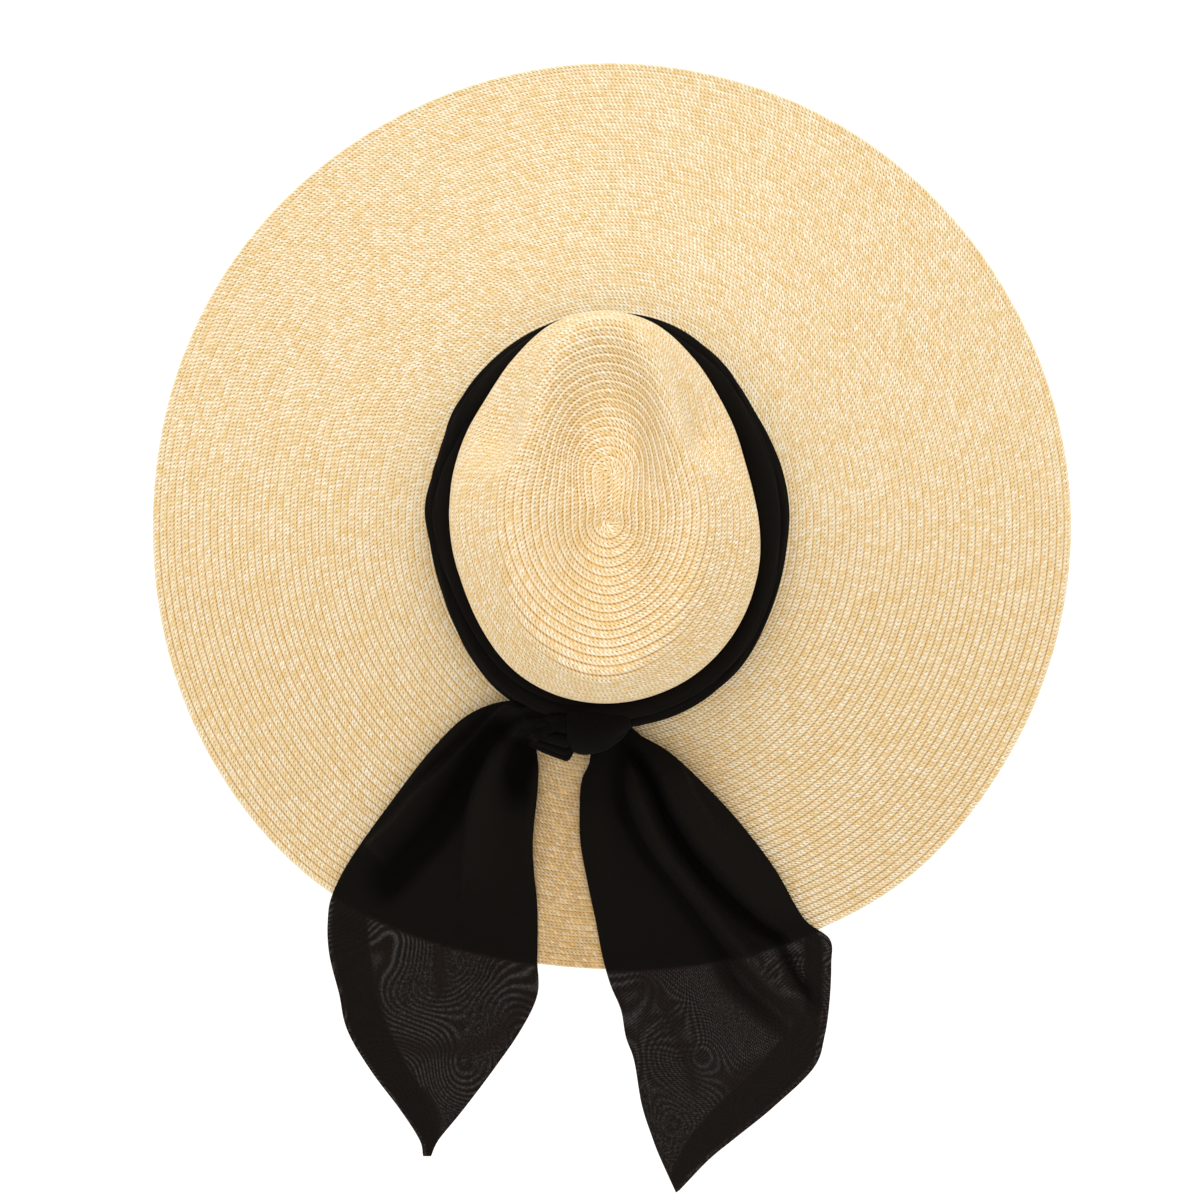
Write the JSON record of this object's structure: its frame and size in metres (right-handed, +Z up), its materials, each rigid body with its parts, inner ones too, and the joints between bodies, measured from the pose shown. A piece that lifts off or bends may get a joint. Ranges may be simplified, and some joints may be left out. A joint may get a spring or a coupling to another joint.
{
  "type": "wide-brim sun hat",
  "caption": "Wide-brim straw sun hat with a pinched teardrop crown and a sheer scarf tied round it as a band, its tails over the back of the brim.",
  "frame": {"origin": "on the surface that the hat lies on, under the middle of the whole with its scarf tails", "axes": "+Y to the front of the hat, where the crown is narrow; +Z up out of the crown; +X to the right seen from above"},
  "size_m": [0.4887, 0.6096, 0.1632],
  "materials": {
    "straw": "matt sewn paper-straw braid",
    "scarf": "sheer black voile"
  },
  "bodies": {
    "root": {"crown": "straw", "brim": "straw", "scarf_band": "scarf", "knot_loop": "scarf", "knot_stub": "scarf", "tail_left": "scarf", "tail_right": "scarf"}
  },
  "joints": []
}
